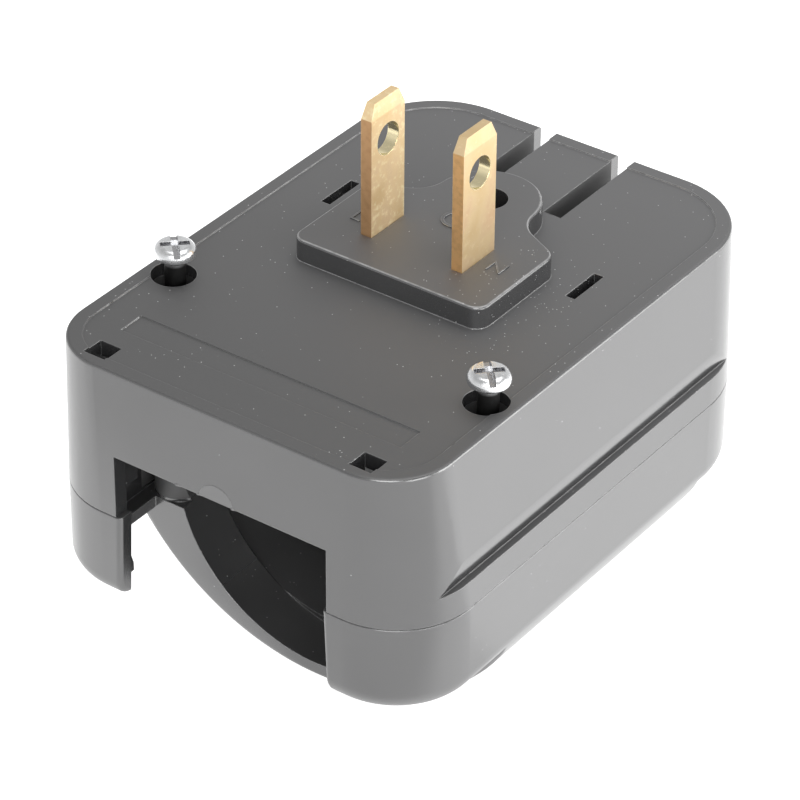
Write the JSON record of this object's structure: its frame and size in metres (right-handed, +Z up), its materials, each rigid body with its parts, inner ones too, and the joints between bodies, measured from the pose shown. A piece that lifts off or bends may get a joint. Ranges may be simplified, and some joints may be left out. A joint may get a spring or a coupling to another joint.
{
  "type": "travel adapter",
  "caption": "Moulded travel adapter that takes a round-headed mains plug in a vaulted socket and offers flat blades with an unused earth hole.",
  "frame": {"origin": "under the middle of the body, on the flat of the vault that the adapter rests on", "axes": "+Z up along the blades, +Y from the cord notch to the release tongue, +X to the neutral blade's side"},
  "size_m": [0.054, 0.0724, 0.0654],
  "materials": {
    "housing": "satin moulded",
    "carrier": "matt moulded",
    "blade_brass": "stamped, lightly scratched",
    "spring_brass": "rolled strip",
    "rivet_brass": "headed",
    "screw_steel": "bright zinc plate"
  },
  "bodies": {
    "root": {"upper_shell": "housing", "lower_cover": "housing", "contact_carrier": "carrier", "line_blade": "blade_brass", "neutral_blade": "blade_brass", "line_contact": "spring_brass", "neutral_contact": "spring_brass", "line_rivets": "rivet_brass", "neutral_rivets": "rivet_brass", "cover_screw_left": "screw_steel", "cover_screw_right": "screw_steel"}
  },
  "joints": []
}
